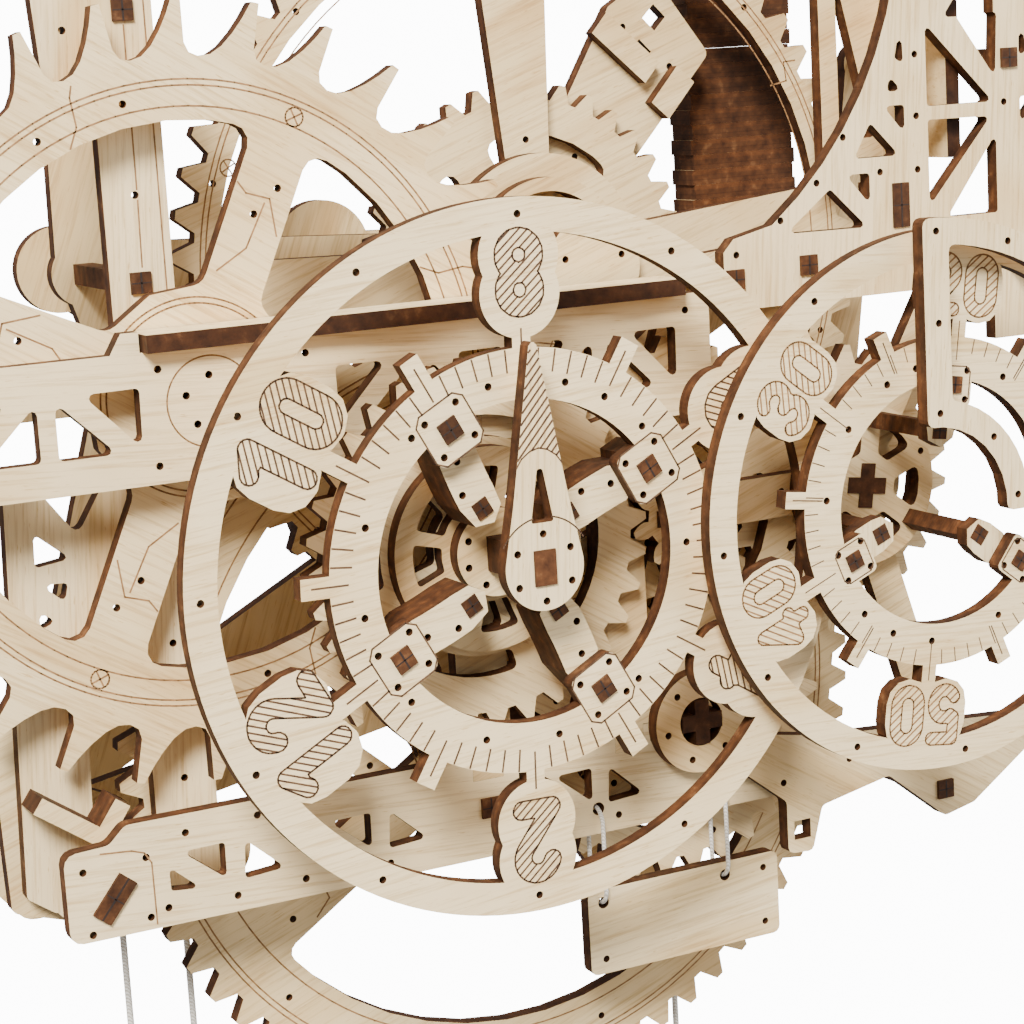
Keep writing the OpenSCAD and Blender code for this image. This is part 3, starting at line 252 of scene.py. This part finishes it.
FRONT = face_material("birch_front", 0.10, 3, 1.0)
FRONT_B = face_material("birch_front_level", -0.06, 11, 0.98)
UPRIGHT = face_material("birch_upright", 1.50, 5, 0.97)
SLANT = face_material("birch_slanted", -0.55, 7, 0.96, 0.3)
WARM = face_material("birch_warm", 0.35, 13, 0.90, 0.6)
# A darker, warmer copy of the birch, used as painted shade on the rear frame, the wall plate and the side of
# the tower's rib.
SHADED_BIRCH = face_material("birch_painted_shade", 1.20, 17, 0.84, 0.8)
EDGE = edge_material("burnt_edge", 19)
EDGE_STACK = edge_material("burnt_stack", 29, axis=2, tone=0.9)
TENON = edge_material("burnt_tenon", 31, tone=1.1)
LINE = burn_material("engraved_line", (0.050, 0.022, 0.010), (0.13, 0.065, 0.028), 900)
LINE_GOLD = burn_material("engraved_gold", (0.16, 0.075, 0.025), (0.36, 0.19, 0.075), 700)
SEAM = burn_material("ply_seam", (0.010, 0.004, 0.002), (0.022, 0.009, 0.004), 900)
CORD = cord_material()

# The rear frame and the wall plate take the darker birch copy, which is painted shade.
FACES = {
    "hour_dial": FRONT, "minute_dial": FRONT_B, "hour_pointer": UPRIGHT, "minute_frame": UPRIGHT,
    "tower_front": UPRIGHT, "upper_beam": FRONT_B, "lower_beam": FRONT_B, "left_post": UPRIGHT,
    "escape_wheel": SLANT, "upper_wheel": WARM, "great_wheel": WARM, "rear_frame": SHADED_BIRCH,
    "wall_plate": SHADED_BIRCH, "relay_plate": SLANT, "name_plate": FRONT, "hour_wheel": SLANT,
    "hour_ring": WARM, "hour_arms": FRONT, "minute_hub": SLANT, "minute_arms": UPRIGHT,
    "reduction_wheel": WARM, "relay_wheel": SLANT, "minute_wheel": FRONT_B, "pendulum_rod": UPRIGHT,
}
SQUARE_ON = 0.9
SAME_DEPTH = 1e-5
CORDS = ("guide_cords", "weight_strands", "pull_strand", "name_plate_loops")
TENONS = ("spacer_bars", "hour_bars", "minute_bars", "minute_frame_posts", "pulley_pins")


def look(name):
    """Material of a sheet's faces, material of its edges, and the axis across the sheet."""
    if name in CORDS:
        return CORD, CORD, 1
    if name in TENONS:
        return TENON, TENON, 1
    # The side of the tower's rib takes the darker birch copy, which is painted shade.
    special = {"upper_shelf": (FRONT, EDGE, 2), "tower_rib": (SHADED_BIRCH, EDGE, 0),
               "tower_column": (WARM, EDGE_STACK, 2), "weight": (WARM, EDGE_STACK, 2),
               "pull_knob": (FRONT, EDGE_STACK, 2)}
    return special.get(name, (FACES.get(name, WARM), EDGE, 1))


for name, obj in NODES.items():
    mesh = obj.data
    face, edge, axis = look(name)
    mesh.materials.clear()
    mesh.materials.append(face)
    mesh.materials.append(edge)
    for p in mesh.polygons:
        p.material_index = 0 if abs(p.normal[axis]) > SQUARE_ON else 1
        p.use_smooth = False

# The end faces of the arbors and of the hour post show the burnt end grain of their plies.
for name in ("minute_arbor", "reduction_arbor", "relay_arbor", "great_arbor", "upper_arbor", "escape_arbor",
             "anchor_arbor", "hour_post"):
    mesh = NODES[name].data
    mesh.materials.append(TENON)
    low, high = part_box(name)
    for p in mesh.polygons:
        y = sum(mesh.vertices[v].co.y for v in p.vertices) / len(p.vertices)
        if abs(p.normal.y) > SQUARE_ON and min(abs(y - low.y), abs(y - high.y)) < SAME_DEPTH:
            p.material_index = 2

# Each hanging strand is copied into an object of its own, the node itself is hidden, and the copy's
# transform is baked into its mesh.
for name, load in (("weight_strands", "weight_block"), ("pull_strand", "knob")):
    low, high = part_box(name)
    strands = bpy.data.objects.new(name + "_cord", NODES[name].data.copy())
    strands.matrix_world = NODES[name].matrix_world.copy()
    bpy.context.scene.collection.objects.link(strands)
    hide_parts(name)
    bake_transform(strands)


# ---------- engraving ----------
# A burnt strip stands this proud of the face that it lies on, and reaches this far into it.
PROUD = 0.03 * MM
SUNK = 0.0001 * MM


class Engraving:
    """Thin burnt strips on a front face at depth y (metres), drawn in millimetres."""

    def __init__(self, name, body, y, material):
        self.name, self.body, self.y, self.material = name, body, y, material
        self.verts, self.quads = [], []

    def quad(self, pts):
        n = len(self.verts)
        for y in (self.y - PROUD, self.y + SUNK):
            self.verts += [(x * MM, y, z * MM) for x, z in pts]
        self.quads.append((n, n + 1, n + 2, n + 3))
        for i in range(4):
            k = (i + 1) % 4
            self.quads.append((n + i, n + 4 + i, n + 4 + k, n + k))

    def seg(self, p, q, w, extend=0.0):
        dx, dz = q[0] - p[0], q[1] - p[1]
        length = math.hypot(dx, dz)
        if length < 1e-6:
            return
        ux, uz = dx / length, dz / length
        nx, nz = -uz * w / 2, ux * w / 2
        p = (p[0] - ux * extend, p[1] - uz * extend)
        q = (q[0] + ux * extend, q[1] + uz * extend)
        self.quad([(p[0] + nx, p[1] + nz), (p[0] - nx, p[1] - nz),
                   (q[0] - nx, q[1] - nz), (q[0] + nx, q[1] + nz)])

    def radial(self, centre, r0, r1, deg, w):
        self.seg(polar(centre, r0, deg), polar(centre, r1, deg), w)

    def path(self, pts, w, closed=False):
        last = len(pts) if closed else len(pts) - 1
        for i in range(last):
            self.seg(pts[i], pts[(i + 1) % len(pts)], w, w * 0.3)

    def arc(self, centre, r, a0, a1, w, step=3.0):
        n = max(2, int(abs(a1 - a0) / step))
        self.path([polar(centre, r, a0 + (a1 - a0) * i / n) for i in range(n + 1)], w)

    def joint_line(self, centre, turn, pts, w):
        """Path through (radius, angle) pairs, turned about a wheel's centre."""
        self.path([polar(centre, r, a + turn) for r, a in pts], w)

    def block_outline(self, centre, r, deg, w):
        """Square with its corners at radius r, each corner cut off."""
        corners = [polar(centre, r, deg + 45 + 90 * i) for i in range(4)]
        outline = []
        for i, p in enumerate(corners):
            for q in (corners[i - 1], corners[(i + 1) % 4]):
                outline.append((p[0] * 0.86 + q[0] * 0.14, p[1] * 0.86 + q[1] * 0.14))
        self.path(outline, w, closed=True)

    def screw_head(self, centre, r, w, slots, turn):
        self.arc(centre, r, 0, 360, w, 20)
        for i in range(slots):
            a = turn + 90 * i
            self.seg(polar(centre, r, a), polar(centre, r, a + 180), w)

    def hatch(self, loops, angle, pitch, w):
        """Parallel lines clipped to the closed loops by the even-odd rule."""
        c, s = math.cos(math.radians(angle)), math.sin(math.radians(angle))
        turned = [[(x * c + z * s, -x * s + z * c) for x, z in loop] for loop in loops]
        lowest = min(v for loop in turned for _, v in loop)
        highest = max(v for loop in turned for _, v in loop)
        v = lowest + pitch * 0.5
        while v < highest:
            cuts = []
            for loop in turned:
                for i in range(len(loop)):
                    (x0, z0), (x1, z1) = loop[i], loop[(i + 1) % len(loop)]
                    if (z0 <= v) != (z1 <= v):
                        cuts.append(x0 + (v - z0) * (x1 - x0) / (z1 - z0))
            cuts.sort()
            for a, b in zip(cuts[::2], cuts[1::2]):
                if b - a > w:
                    self.seg((a * c - v * s, a * s + v * c), (b * c - v * s, b * s + v * c), w)
            v += pitch

    def build(self):
        mesh = bpy.data.meshes.new(self.name)
        mesh.from_pydata(self.verts, [], self.quads)
        mesh.validate()
        mesh.materials.append(self.material)
        obj = bpy.data.objects.new(self.name, mesh)
        bpy.context.scene.collection.objects.link(obj)
        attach(obj, self.body)


def front(name):
    """Depth of a node's front face, in metres."""
    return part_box(name)[0].y


def bow(cx, cz, rx, rz, a0, a1):
    """Points along part of an ellipse, from angle a0 to a1."""
    steps = 14
    angles = [math.radians(a0 + (a1 - a0) * i / steps) for i in range(steps + 1)]
    return [(cx + rx * math.cos(a), cz + rz * math.sin(a)) for a in angles]


def figure_strokes(digit, a, b):
    """Centre lines of a figure in a box of half width a and half height b."""
    if digit == "0":
        ring = bow(0, b - a, a, a, 0, 180) + bow(0, a - b, a, a, 180, 360)
        return [ring + ring[:1]]
    if digit == "1":
        return [[(-a * 0.9, b * 0.62), (a * 0.35, b), (a * 0.35, -b)]]
    if digit == "2":
        return [bow(0, b - a, a, a, 165, -32) + [(-a, -b), (a, -b)]]
    if digit == "3":
        h = b / 2
        return [bow(0, h, a, h, 150, -90), bow(0, -h, a, h, 90, -150)]
    if digit == "4":
        return [[(a * 0.45, -b), (a * 0.45, b), (-a, -b * 0.4), (a, -b * 0.4)]]
    if digit == "5":
        return [[(a, b), (-a * 0.9, b), (-a * 0.9, b * 0.12)] + bow(0, -b + a, a, a * 1.05, 125, -150)]
    if digit == "6":
        return [bow(0, b - a, a, a, 30, 180) + bow(0, a - b, a, a, 180, 540)]
    # What is left is an 8: the dials have no 7 and no 9.
    h = b / 2
    return [bow(0, h, a, h, -90, 270), bow(0, -h, a, h, 90, 450)]


def stroke_distance(x, z, strokes):
    """Distance from a point to the nearest centre line."""
    best = 1e9
    for line in strokes:
        for (x0, z0), (x1, z1) in zip(line, line[1:]):
            dx, dz = x1 - x0, z1 - z0
            size = dx * dx + dz * dz
            t = 0.0 if size < 1e-12 else max(0.0, min(1.0, ((x - x0) * dx + (z - z0) * dz) / size))
            best = min(best, (x - x0 - t * dx) ** 2 + (z - z0 - t * dz) ** 2)
    return math.sqrt(best)


def figure_loops(digit, width, height, thick):
    """Closed outlines of a round-ended stroke figure, traced on a fine grid."""
    strokes = figure_strokes(digit, (width - thick) / 2, (height - thick) / 2)
    cell = thick / 8
    nx, nz = int(width / cell) + 4, int(height / cell) + 4
    x0, z0 = -nx * cell / 2, -nz * cell / 2
    value = [[stroke_distance(x0 + i * cell, z0 + k * cell, strokes) - thick / 2 for i in range(nx + 1)]
             for k in range(nz + 1)]
    spot, links = {}, {}

    def crossing(i, k, j, m):
        key = (i, k, j, m)
        if key not in spot:
            f = value[k][i] / (value[k][i] - value[m][j])
            spot[key] = (x0 + (i + (j - i) * f) * cell, z0 + (k + (m - k) * f) * cell)
        return key

    for k in range(nz):
        for i in range(nx):
            corners = [(i, k), (i + 1, k), (i + 1, k + 1), (i, k + 1)]
            cuts = []
            for e in range(4):
                p, q = sorted((corners[e], corners[(e + 1) % 4]))
                if (value[p[1]][p[0]] < 0) != (value[q[1]][q[0]] < 0):
                    cuts.append(crossing(p[0], p[1], q[0], q[1]))
            for p, q in zip(cuts[::2], cuts[1::2]):
                links.setdefault(p, []).append(q)
                links.setdefault(q, []).append(p)
    seen, loops = set(), []
    for first in links:
        loop, at = [], first
        while at is not None and at not in seen:
            seen.add(at)
            loop.append(spot[at])
            at = next((n for n in links[at] if n not in seen), None)
        if len(loop) > 5:
            loops.append(loop[::2])
    return loops


def numeral(eng, text, centre, r, deg, size, line):
    """Hatched, outlined figures whose tops point away from centre."""
    gap, hatch_angle, hatch_pitch = 0.9, 42, 1.12
    width, height, thick = size
    a = math.radians(deg - 90)
    at = polar(centre, r, deg)
    for n, digit in enumerate(text):
        shift = (n - (len(text) - 1) / 2) * (width + gap)
        placed = [[(at[0] + (x + shift) * math.cos(a) - z * math.sin(a),
                    at[1] + (x + shift) * math.sin(a) + z * math.cos(a)) for x, z in loop]
                  for loop in figure_loops(digit, width, height, thick)]
        for loop in placed:
            eng.path(loop, line, closed=True)
        eng.hatch(placed, deg - 90 + hatch_angle, hatch_pitch, line)


def engrave_hour_dial():
    """Ticks, outlines of the four blocks, joint lines every 30 degrees, and the even hours."""
    line = 0.32
    eng = Engraving("hour_ticks", "hour_work", front("hour_dial"), LINE)
    for i in range(72):
        if i % 6:
            eng.radial(HOUR, 36.1, 32.2, EIGHT_AT + 5 * i, line)
    for k in range(4):
        a = EIGHT_AT - 60 + 90 * k
        eng.block_outline(polar(HOUR, 27.3, a), 7.0, a, 0.3)
    for k in range(12):
        eng.radial(HOUR, 32.8, 39.4, EIGHT_AT + 30 * k, line)
    eng.build()
    eng = Engraving("hour_numerals", "hour_work", front("hour_dial"), LINE)
    for k, text in enumerate(("8", "10", "12", "2", "4", "6")):
        numeral(eng, text, HOUR, 48.6, EIGHT_AT + 60 * k, (9.0, 14.8, 3.25), line)
    eng.build()


def engrave_minute_dial():
    """Ticks, longer every fifth minute, outlines of the three blocks, joint lines and the tens."""
    line = 0.2
    eng = Engraving("minute_ticks", "minute_work", front("minute_dial"), LINE)
    for i in range(60):
        if i % 10:
            eng.radial(MINUTE, 29.7, 27.0 if i % 5 else 26.0, TWENTY_AT - 1 + 6 * i, line)
    for k in range(3):
        a = TWENTY_AT + 120 * k
        eng.block_outline(polar(MINUTE, 21.2, a), 4.7, a, 0.24)
    for k in range(6):
        a = TWENTY_AT + 60 * k
        eng.radial(MINUTE, 25.6, 32.6, a, line)
        eng.radial(MINUTE, 26.2, 32.4, a + 30, 0.24)
    eng.build()
    eng = Engraving("minute_numerals", "minute_work", front("minute_dial"), LINE_GOLD)
    for k, text in enumerate(("20", "30", "40", "50", "0", "10")):
        numeral(eng, text, MINUTE, 39.0, TWENTY_AT + 60 * k, (7.2, 11.2, 2.35), 0.30)
    eng.build()


def engrave_hour_pointer():
    """Hatched blade with its round heel, and two arcs round the hour arbor."""
    line = 0.26
    eng = Engraving("pointer_lines", "frame", front("hour_pointer"), LINE)
    heel = [(-4.2, 17.2), (-3.2, 18.6), (-1.6, 19.7), (0.0, 20.1), (1.6, 19.7), (3.2, 18.6), (4.2, 17.2)]
    tip = [(0.8, 36.4), (-0.8, 36.4)]
    eng.hatch([heel + tip], 48, 1.05, 0.34)
    eng.arc(HOUR, 8.6, 30, 78, line)
    eng.arc(HOUR, 8.6, 102, 150, line)
    eng.path(heel, line)
    eng.build()


def engrave_escape_wheel():
    """Rim rings, hub rings, joint lines, and screw heads that are crossed and slotted in turn."""
    line = 0.30
    eng = Engraving("escape_lines", "escape_work", front("escape_wheel"), LINE_GOLD)
    for r in (52.6, 51.6, 48.2, 16.8, 15.8):
        eng.arc(ESCAPE, r, 0, 360, line)
    for k in range(4):
        turn = 90 * k + 1
        eng.joint_line(ESCAPE, turn, ((55.1, 107), (53.5, 108), (48.8, 109), (46.1, 112)), line)
        eng.joint_line(ESCAPE, turn, ((36.6, 73), (35.1, 70), (35.5, 63), (30.3, 56.5)), line)
        eng.joint_line(ESCAPE, turn, ((34.5, 64), (26.3, 65), (21.4, 75)), line)
        eng.screw_head(polar(ESCAPE, 49.8, 65 + 90 * k), 1.6, line, 1 if k % 2 else 2, 20)
    eng.build()


def engrave_upper_wheel():
    """Rim rings, joint lines and crossed screw heads."""
    line = 0.28
    eng = Engraving("upper_lines", "upper_work", front("upper_wheel"), LINE_GOLD)
    for r in (67.2, 66.2, 62.2):
        eng.arc(UPPER, r, 0, 360, line)
    for k in range(4):
        eng.joint_line(UPPER, 90 * k, ((69.0, 120), (66.6, 121), (65.2, 118), (61.6, 119)), line)
        eng.screw_head(polar(UPPER, 64.2, 70 + 90 * k), 1.5, line, 2, 30)
    eng.build()


def engrave_great_wheel():
    """Rim rings, hub rings and joint lines."""
    line = 0.30
    eng = Engraving("great_lines", "great_work", front("great_wheel"), LINE_GOLD)
    for r in (69.2, 68.2, 62.5, 20.5, 19.5):
        eng.arc(GREAT, r, 0, 360, line)
    for k in range(4):
        eng.joint_line(GREAT, 90 * k, ((71.5, 78), (67.0, 79), (66.0, 75), (61.5, 76)), line)
        eng.joint_line(GREAT, 90 * k, ((52, 38), (48, 37), (47, 31), (42, 28)), line)
    eng.build()


def engrave_beams():
    """Ring round the escape arbor's bearing, and a line along the rounded end of the lower beam."""
    line = 0.28
    eng = Engraving("beam_lines", "frame", front("lower_beam"), LINE_GOLD)
    eng.arc(ESCAPE, 7.6, 0, 360, line, 6)
    eng.path([(-72.0, -42.4), (-66.6, -42.9), (-64.4, -43.7), (-63.3, -45.6), (-63.2, -56.4)], line)
    eng.build()


def engrave_left_post():
    """Centre line between the tenons, and a line along the right edge."""
    line = 0.28
    eng = Engraving("post_lines", "frame", front("left_post"), LINE_GOLD)
    eng.seg((-51.8, 52.5), (-51.6, 63.8), line)
    eng.seg((-51.6, 65.4), (-51.5, 92.5), line)
    eng.seg((-47.8, 42), (-47.8, 130), line)
    eng.build()


def tenon_seams(name, body):
    """Seams of the plies across every square front end of a node's bars."""
    same_end = 0.0042
    mesh = NODES[name].data
    ends = {}
    for p in mesh.polygons:
        if p.normal.y < -SQUARE_ON:
            c = sum((mesh.vertices[v].co for v in p.vertices), Vector()) / len(p.vertices)
            key = next((k for k in ends if (Vector(k) - c).length < same_end), tuple(c))
            corners = ends.setdefault(key, {})
            for v in p.vertices:
                co = mesh.vertices[v].co
                corners[(round(co.x, 6), round(co.z, 6))] = co.y
    eng = Engraving(name + "_seams", body, 0, SEAM)
    for corners in ends.values():
        if len(corners) != 4:
            continue
        cx = sum(x for x, _ in corners) / 4
        cz = sum(z for _, z in corners) / 4
        pts = sorted(corners, key=lambda q: math.atan2(q[1] - cz, q[0] - cx))
        eng.y = min(corners.values())
        sides = zip(pts, pts[1:] + pts[:1])
        mids = [((p[0] + q[0]) / 2 / MM, (p[1] + q[1]) / 2 / MM) for p, q in sides]
        eng.seg(mids[0], mids[2], 0.34)
        eng.seg(mids[1], mids[3], 0.22)
    eng.build()


engrave_hour_dial()
engrave_minute_dial()
engrave_hour_pointer()
engrave_escape_wheel()
engrave_upper_wheel()
engrave_great_wheel()
engrave_beams()
engrave_left_post()
for name, body in (("hour_bars", "hour_work"), ("minute_bars", "minute_work"), ("spacer_bars", "frame"),
                   ("minute_frame_posts", "frame")):
    tenon_seams(name, body)


# ---------- stage ----------
DOME_RADIUS = 6.0
DOME_GLOW = 12.0


def backdrop():
    """White dome all round, so that the clock stands before white from every side."""
    rings, parts = 16, 32
    verts = []
    for i in range(rings + 1):
        level, reach = math.cos(math.pi * i / rings), math.sin(math.pi * i / rings)
        for k in range(parts):
            a = 2 * math.pi * k / parts
            verts.append((DOME_RADIUS * reach * math.cos(a), DOME_RADIUS * reach * math.sin(a),
                          DOME_RADIUS * level))
    faces = []
    for i in range(rings):
        for k in range(parts):
            here, beside = i * parts + k, i * parts + (k + 1) % parts
            faces.append((here, beside, beside + parts, here + parts))
    mesh = bpy.data.meshes.new("backdrop")
    mesh.from_pydata(verts, [], faces)
    obj = bpy.data.objects.new("backdrop", mesh)
    bpy.context.scene.collection.objects.link(obj)
    material, _, shader = new_material("backdrop_white")
    shader.inputs["Base Color"].default_value = (0.97, 0.97, 0.97, 1)
    shader.inputs["Roughness"].default_value = 1.0
    shader.inputs["Emission Color"].default_value = (1, 1, 1, 1)
    shader.inputs["Emission Strength"].default_value = DOME_GLOW
    mesh.materials.append(material)
    obj.visible_diffuse = False
    obj.visible_glossy = False
    obj.visible_shadow = False
    return obj


backdrop()


def area_light(name, size, energy, at, target, colour):
    data = bpy.data.lights.new(name, "AREA")
    data.shape = "RECTANGLE"
    data.size, data.size_y = size
    data.energy = energy
    data.color = colour
    obj = bpy.data.objects.new(name, data)
    bpy.context.scene.collection.objects.link(obj)
    obj.location = at
    obj.rotation_euler = (Vector(target) - Vector(at)).to_track_quat("-Z", "Y").to_euler()


area_light("key_light", size=(0.6, 0.6), energy=115, at=(-0.9, -1.3, 1.3), target=(0, 0, 0),
           colour=(1, 0.985, 0.96))
area_light("fill_light", size=(1.4, 1.4), energy=20, at=(1.3, -1.2, 0.5), target=(0.03, 0, 0),
           colour=(1, 0.99, 0.97))
area_light("top_light", size=(1.2, 0.8), energy=7, at=(0.1, -0.2, 1.5), target=(0, 0, 0),
           colour=(1, 1, 1))
world = bpy.data.worlds.new("world")
bpy.context.scene.world = world
world.use_nodes = True
world.node_tree.nodes["Background"].inputs[0].default_value = (1.0, 0.985, 0.965, 1)
world.node_tree.nodes["Background"].inputs[1].default_value = 0.45
